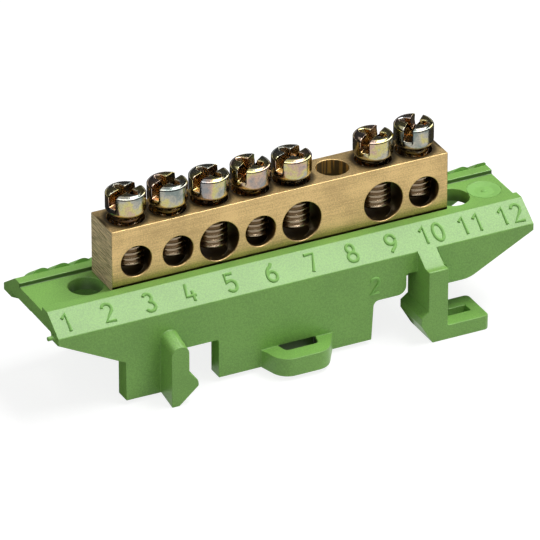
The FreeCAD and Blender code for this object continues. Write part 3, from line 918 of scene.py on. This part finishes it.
class EARTHBAR_OT_numbers(bpy.types.Operator):
    """Raise the place numbers on the slanted strip and the cavity number on the wall"""

    bl_idname = "earthbar.numbers"
    bl_label = "Raised numbers"

    def execute(self, context):
        sizes = context.scene.earthbar_numbers
        strip_y = -(RIM_Y + LIP_Y) / 2
        strip_z = (RIM_Z + LIP_Z) / 2
        lean = Matrix.Rotation(STRIP_ANGLE, 4, "X")
        shell = bmesh.new()
        for number in range(1, sizes.count + 1):
            mesh = number_mesh(str(number), sizes.height, sizes.stroke)
            x = MIDDLE_X - sizes.first_offset + (number - 1) * sizes.pitch
            mesh.transform(Matrix.Translation((x, strip_y, strip_z)) @ lean)
            shell.from_mesh(mesh)
            bpy.data.meshes.remove(mesh)
        mesh = number_mesh("2", sizes.cavity_height, sizes.stroke)
        upright = Matrix.Rotation(math.pi / 2, 4, "X")
        mesh.transform(Matrix.Translation((MIDDLE_X + CAVITY_X, -LIP_Y, FLOOR_Z - CAVITY_DROP)) @ upright)
        shell.from_mesh(mesh)
        bpy.data.meshes.remove(mesh)
        bmesh.ops.recalc_face_normals(shell, faces=shell.faces)
        mesh = bpy.data.meshes.new("raised_numbers")
        shell.to_mesh(mesh)
        shell.free()
        piece = new_piece("raised_numbers", mesh)
        finished(piece, bpy.data.materials["green_moulding"])
        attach(piece, CARRIER_BODY)
        return {"FINISHED"}


class EARTHBAR_OT_bar(bpy.types.Operator):
    """Break the brass bar's edges and give it its drawn and sawn finish"""

    bl_idname = "earthbar.bar"
    bl_label = "Brass bar"

    def execute(self, context):
        scene = context.scene
        material = drawn_brass(scene.earthbar_finishes.brass)
        halvings = ((0, 0, 0), (0, 1, 0)), ((0, 0, WIRE_HOLE_Z), (0, 0, 1))
        piece = softened_copy(
            "brass_bar", "terminal_bar", scene.earthbar_bar.edge_break, BAR_SHARPEST,
            nowhere, halvings, material)
        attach(piece, CARRIER_BODY)
        return {"FINISHED"}


class EARTHBAR_OT_screws(bpy.types.Operator):
    """Turn, slot and thread the clamp screws, each where its solid stands"""

    bl_idname = "earthbar.screws"
    bl_label = "Clamp screws"

    def execute(self, context):
        sizes = context.scene.earthbar_screws
        material = plated_zinc(context.scene.earthbar_finishes.zinc)
        low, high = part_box("clamp_screw_1")
        shank_length = high.z - low.z - sizes.head_height
        blank = screw_blank(sizes, shank_length)
        tree = screw_tree()
        clear = 0.35 * MM
        turns = (shank_length - sizes.neck_height - 2 * clear) / sizes.thread_pitch
        for number in SCREW_NUMBERS:
            low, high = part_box("clamp_screw_" + str(number))
            piece = new_piece("zinc_screw_" + str(number), blank.copy())
            modifier = piece.modifiers.new("screw", "NODES")
            modifier.node_group = tree
            node_inputs(modifier, {
                "Root Radius": sizes.root_radius, "Thread Radius": sizes.thread_radius,
                "Thread Pitch": sizes.thread_pitch, "Turns": turns, "Thread Foot": clear - shank_length,
                "Slot Turn": math.radians(SLOT_TURNS[number]),
                "Place": ((low.x + high.x) / 2, (low.y + high.y) / 2, high.z - sizes.head_height),
                "Material": material})
            finished(piece, material, 40.0)
            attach(piece, "screw_" + str(number))
            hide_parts("clamp_screw_" + str(number))
        return {"FINISHED"}


def stage_material(name, colour, glow):
    """A matt material that shows the camera and mirrors more light than it sends to the part."""
    finish = Finish(name)
    path = finish.add("ShaderNodeLightPath", out="Is Camera Ray")
    glossy = finish.add("ShaderNodeLightPath", out="Is Glossy Ray")
    through = finish.add("ShaderNodeLightPath", out="Is Transmission Ray")
    seen = path.math("MAXIMUM", path, glossy).math("MAXIMUM", path.math("MAXIMUM", path, glossy), through)
    matt = finish.add("ShaderNodeBsdfDiffuse", None, {"Color": opaque(shaded(colour, 0.55))})
    dim = finish.add("ShaderNodeBsdfDiffuse", None, {"Color": opaque(shaded(colour, 0.26))})
    light = finish.add("ShaderNodeEmission", None, {"Color": opaque(colour), "Strength": glow})
    shown = finish.add("ShaderNodeAddShader", None, {0: dim, 1: light})
    mixed = finish.add("ShaderNodeMixShader", None, {0: seen, 1: matt, 2: shown})
    finish.add("ShaderNodeOutputMaterial", None, {"Surface": mixed})
    return finish.material


def flat_card(name, width, height, matrix, material):
    """A flat rectangle of the stage."""
    shell = bmesh.new()
    corners = [
        shell.verts.new((x * width / 2, y * height / 2, 0))
        for x, y in ((-1, -1), (1, -1), (1, 1), (-1, 1))]
    shell.faces.new(corners)
    mesh = bpy.data.meshes.new(name)
    shell.to_mesh(mesh)
    shell.free()
    mesh.transform(matrix)
    card = new_piece(name, mesh)
    mesh.materials.append(material)
    return card


def fan_card(name, radius, start, end, z, material):
    """A level fan of the stage, spread round Z from one angle to another."""
    shell = bmesh.new()
    centre = shell.verts.new((0, 0, z))
    steps = 48
    edge = [
        shell.verts.new((radius * math.cos(angle), radius * math.sin(angle), z))
        for angle in (start + (end - start) * i / steps for i in range(steps + 1))]
    for first, second in zip(edge, edge[1:]):
        shell.faces.new((centre, first, second))
    mesh = bpy.data.meshes.new(name)
    shell.to_mesh(mesh)
    shell.free()
    card = new_piece(name, mesh)
    mesh.materials.append(material)
    return card


def dome_patch(name, centre, distance, directions, material):
    """Part of a hood round a point, through rows of directions."""
    shell = bmesh.new()
    rows = [[shell.verts.new(centre + way.normalized() * distance) for way in row] for row in directions]
    for lower, upper in zip(rows, rows[1:]):
        for i in range(len(lower) - 1):
            shell.faces.new((lower[i], lower[i + 1], upper[i + 1], upper[i]))
    mesh = bpy.data.meshes.new(name)
    shell.to_mesh(mesh)
    shell.free()
    card = new_piece(name, mesh)
    mesh.materials.append(material)
    return card


def mirrored(view, tilt, turn, azimuth):
    """Where the camera's line goes from a face tilted from level and turned from the camera."""
    normal = Vector((
        math.sin(azimuth + turn) * math.sin(tilt), -math.cos(azimuth + turn) * math.sin(tilt),
        math.cos(tilt)))
    return normal * (2 * normal.dot(view)) - view


def heading(azimuth, elevation):
    return Vector((
        math.sin(azimuth) * math.cos(elevation), -math.cos(azimuth) * math.cos(elevation),
        math.sin(elevation)))


def glowing(name, strength):
    """A material that glows evenly."""
    finish = Finish(name)
    light = finish.add("ShaderNodeEmission", None, {"Strength": strength})
    finish.add("ShaderNodeOutputMaterial", None, {"Surface": light})
    return finish.material


def facing(position, target):
    """Where something at a position stands when it faces a target."""
    turn = (Vector(position) - Vector(target)).to_track_quat("Z", "Y")
    return Matrix.Translation(position) @ turn.to_matrix().to_4x4()


class EARTHBAR_OT_stage(bpy.types.Operator):
    """Set the floor, the room, the lamps and the camera"""

    bl_idname = "earthbar.stage"
    bl_label = "Stage and camera"

    def execute(self, context):
        studio = context.scene.earthbar_studio
        target = Vector((studio.aim_x, 0, studio.aim_z))
        flat_card(
            "floor", 8.0, 8.0, Matrix.Identity(4), stage_material("white_floor", (1.0, 1.0, 1.0), 0.84))

        world = bpy.data.worlds.new("room")
        world.use_nodes = True
        context.scene.world = world
        room = Tree(world.node_tree)
        seen = room.add("ShaderNodeLightPath", out="Is Camera Ray")
        glossy = room.add("ShaderNodeLightPath", out="Is Glossy Ray")
        through = room.add("ShaderNodeLightPath", out="Is Transmission Ray")
        shown = seen.math("MAXIMUM", seen.math("MAXIMUM", seen, glossy), through)
        level = shown * (1.0 - studio.fill_level) + studio.fill_level
        back = room.add("ShaderNodeBackground", None, {"Color": (1, 1, 1, 1), "Strength": level})
        room.add("ShaderNodeOutputWorld", None, {"Surface": back})

        black = Finish("black_card").surface(Base_Color=(0.012, 0.011, 0.01, 1), Roughness=0.9)
        cards = [
            flat_card(name, width, height, facing(place, target), black)
            for name, width, height, place in (
            ("card_left", 0.9, 0.6, (-0.6, 0.05, 0.32)),
            ("card_right", 0.9, 0.6, (0.65, 0.05, 0.32)))]
        cards.append(fan_card("card_low", 1.6, math.radians(-20), math.radians(200), 0.1 * MM, black))
        away = heading(studio.azimuth, studio.elevation)
        cards.append(dome_patch("arched_light", target, 0.7, [
            [mirrored(away, math.radians(tilt), math.radians(turn), studio.azimuth)
             for turn in range(-30, 90, 10)]
            for tilt in (40, 47)], glowing("arched_light", studio.arch_level)))
        for name, lifts, level in (
                ("hood_skirt", (8, 26, 44), studio.skirt_level),
                ("hood_crown", (44, 58, 73, 89), studio.hood_level)):
            cards.append(dome_patch(name, target, 1.5, [
                [heading(math.radians(turn), math.radians(lift)) for turn in range(0, 361, 15)]
                for lift in lifts], glowing(name, level)))
        for card in cards:
            card.visible_camera = False
            card.visible_diffuse = False
            card.visible_shadow = False

        lamp = bpy.data.lights.new("overhead_softbox", "AREA")
        lamp.shape = "RECTANGLE"
        lamp.size = 0.55
        lamp.size_y = 0.3
        lamp.energy = studio.key_power
        softbox = bpy.data.objects.new("overhead_softbox", lamp)
        softbox.matrix_world = facing(target + Vector((0.30, -0.06, 0.70)), target)
        context.scene.collection.objects.link(softbox)

        camera = bpy.data.cameras.new("camera")
        camera.sensor_width = 36.0
        camera.lens = studio.lens
        camera.clip_start = 0.01
        camera.clip_end = 50.0
        viewer = bpy.data.objects.new("camera", camera)
        viewer.matrix_world = facing(target + away * studio.distance, target)
        context.scene.collection.objects.link(viewer)
        context.scene.camera = viewer
        context.scene.view_settings.view_transform = "Standard"
        return {"FINISHED"}


OPERATORS = (
    EARTHBAR_OT_carrier, EARTHBAR_OT_ribs, EARTHBAR_OT_dish, EARTHBAR_OT_numbers,
    EARTHBAR_OT_bar, EARTHBAR_OT_screws, EARTHBAR_OT_stage,
)
SETTINGS = {
    "earthbar_carrier": CarrierSizes,
    "earthbar_numbers": NumberSizes,
    "earthbar_bar": BarSizes,
    "earthbar_screws": ScrewSizes,
    "earthbar_finishes": Finishes,
    "earthbar_studio": Studio,
}


class EARTHBAR_PT_panel(bpy.types.Panel):
    """Sizes, colours and makers of the earth terminal bar"""

    bl_label = "Earth Terminal Bar"
    bl_idname = "EARTHBAR_PT_panel"
    bl_space_type = "VIEW_3D"
    bl_region_type = "UI"
    bl_category = "Earth Bar"

    def draw(self, context):
        for operator in OPERATORS:
            self.layout.operator(operator.bl_idname)
        for name in SETTINGS:
            group = getattr(context.scene, name)
            box = self.layout.box()
            for key in group.bl_rna.properties.keys():
                if key not in ("rna_type", "name"):
                    box.prop(group, key)


def register():
    for cls in (*SETTINGS.values(), *OPERATORS, EARTHBAR_PT_panel):
        bpy.utils.register_class(cls)
    for name, group in SETTINGS.items():
        setattr(bpy.types.Scene, name, PointerProperty(type=group))


def unregister():
    for name in SETTINGS:
        delattr(bpy.types.Scene, name)
    for cls in reversed((*SETTINGS.values(), *OPERATORS, EARTHBAR_PT_panel)):
        bpy.utils.unregister_class(cls)


def main():
    register()
    bpy.ops.earthbar.carrier()
    bpy.ops.earthbar.ribs()
    bpy.ops.earthbar.dish()
    bpy.ops.earthbar.numbers()
    bpy.ops.earthbar.bar()
    bpy.ops.earthbar.screws()
    bpy.ops.earthbar.stage()


if __name__ == "__main__":
    main()
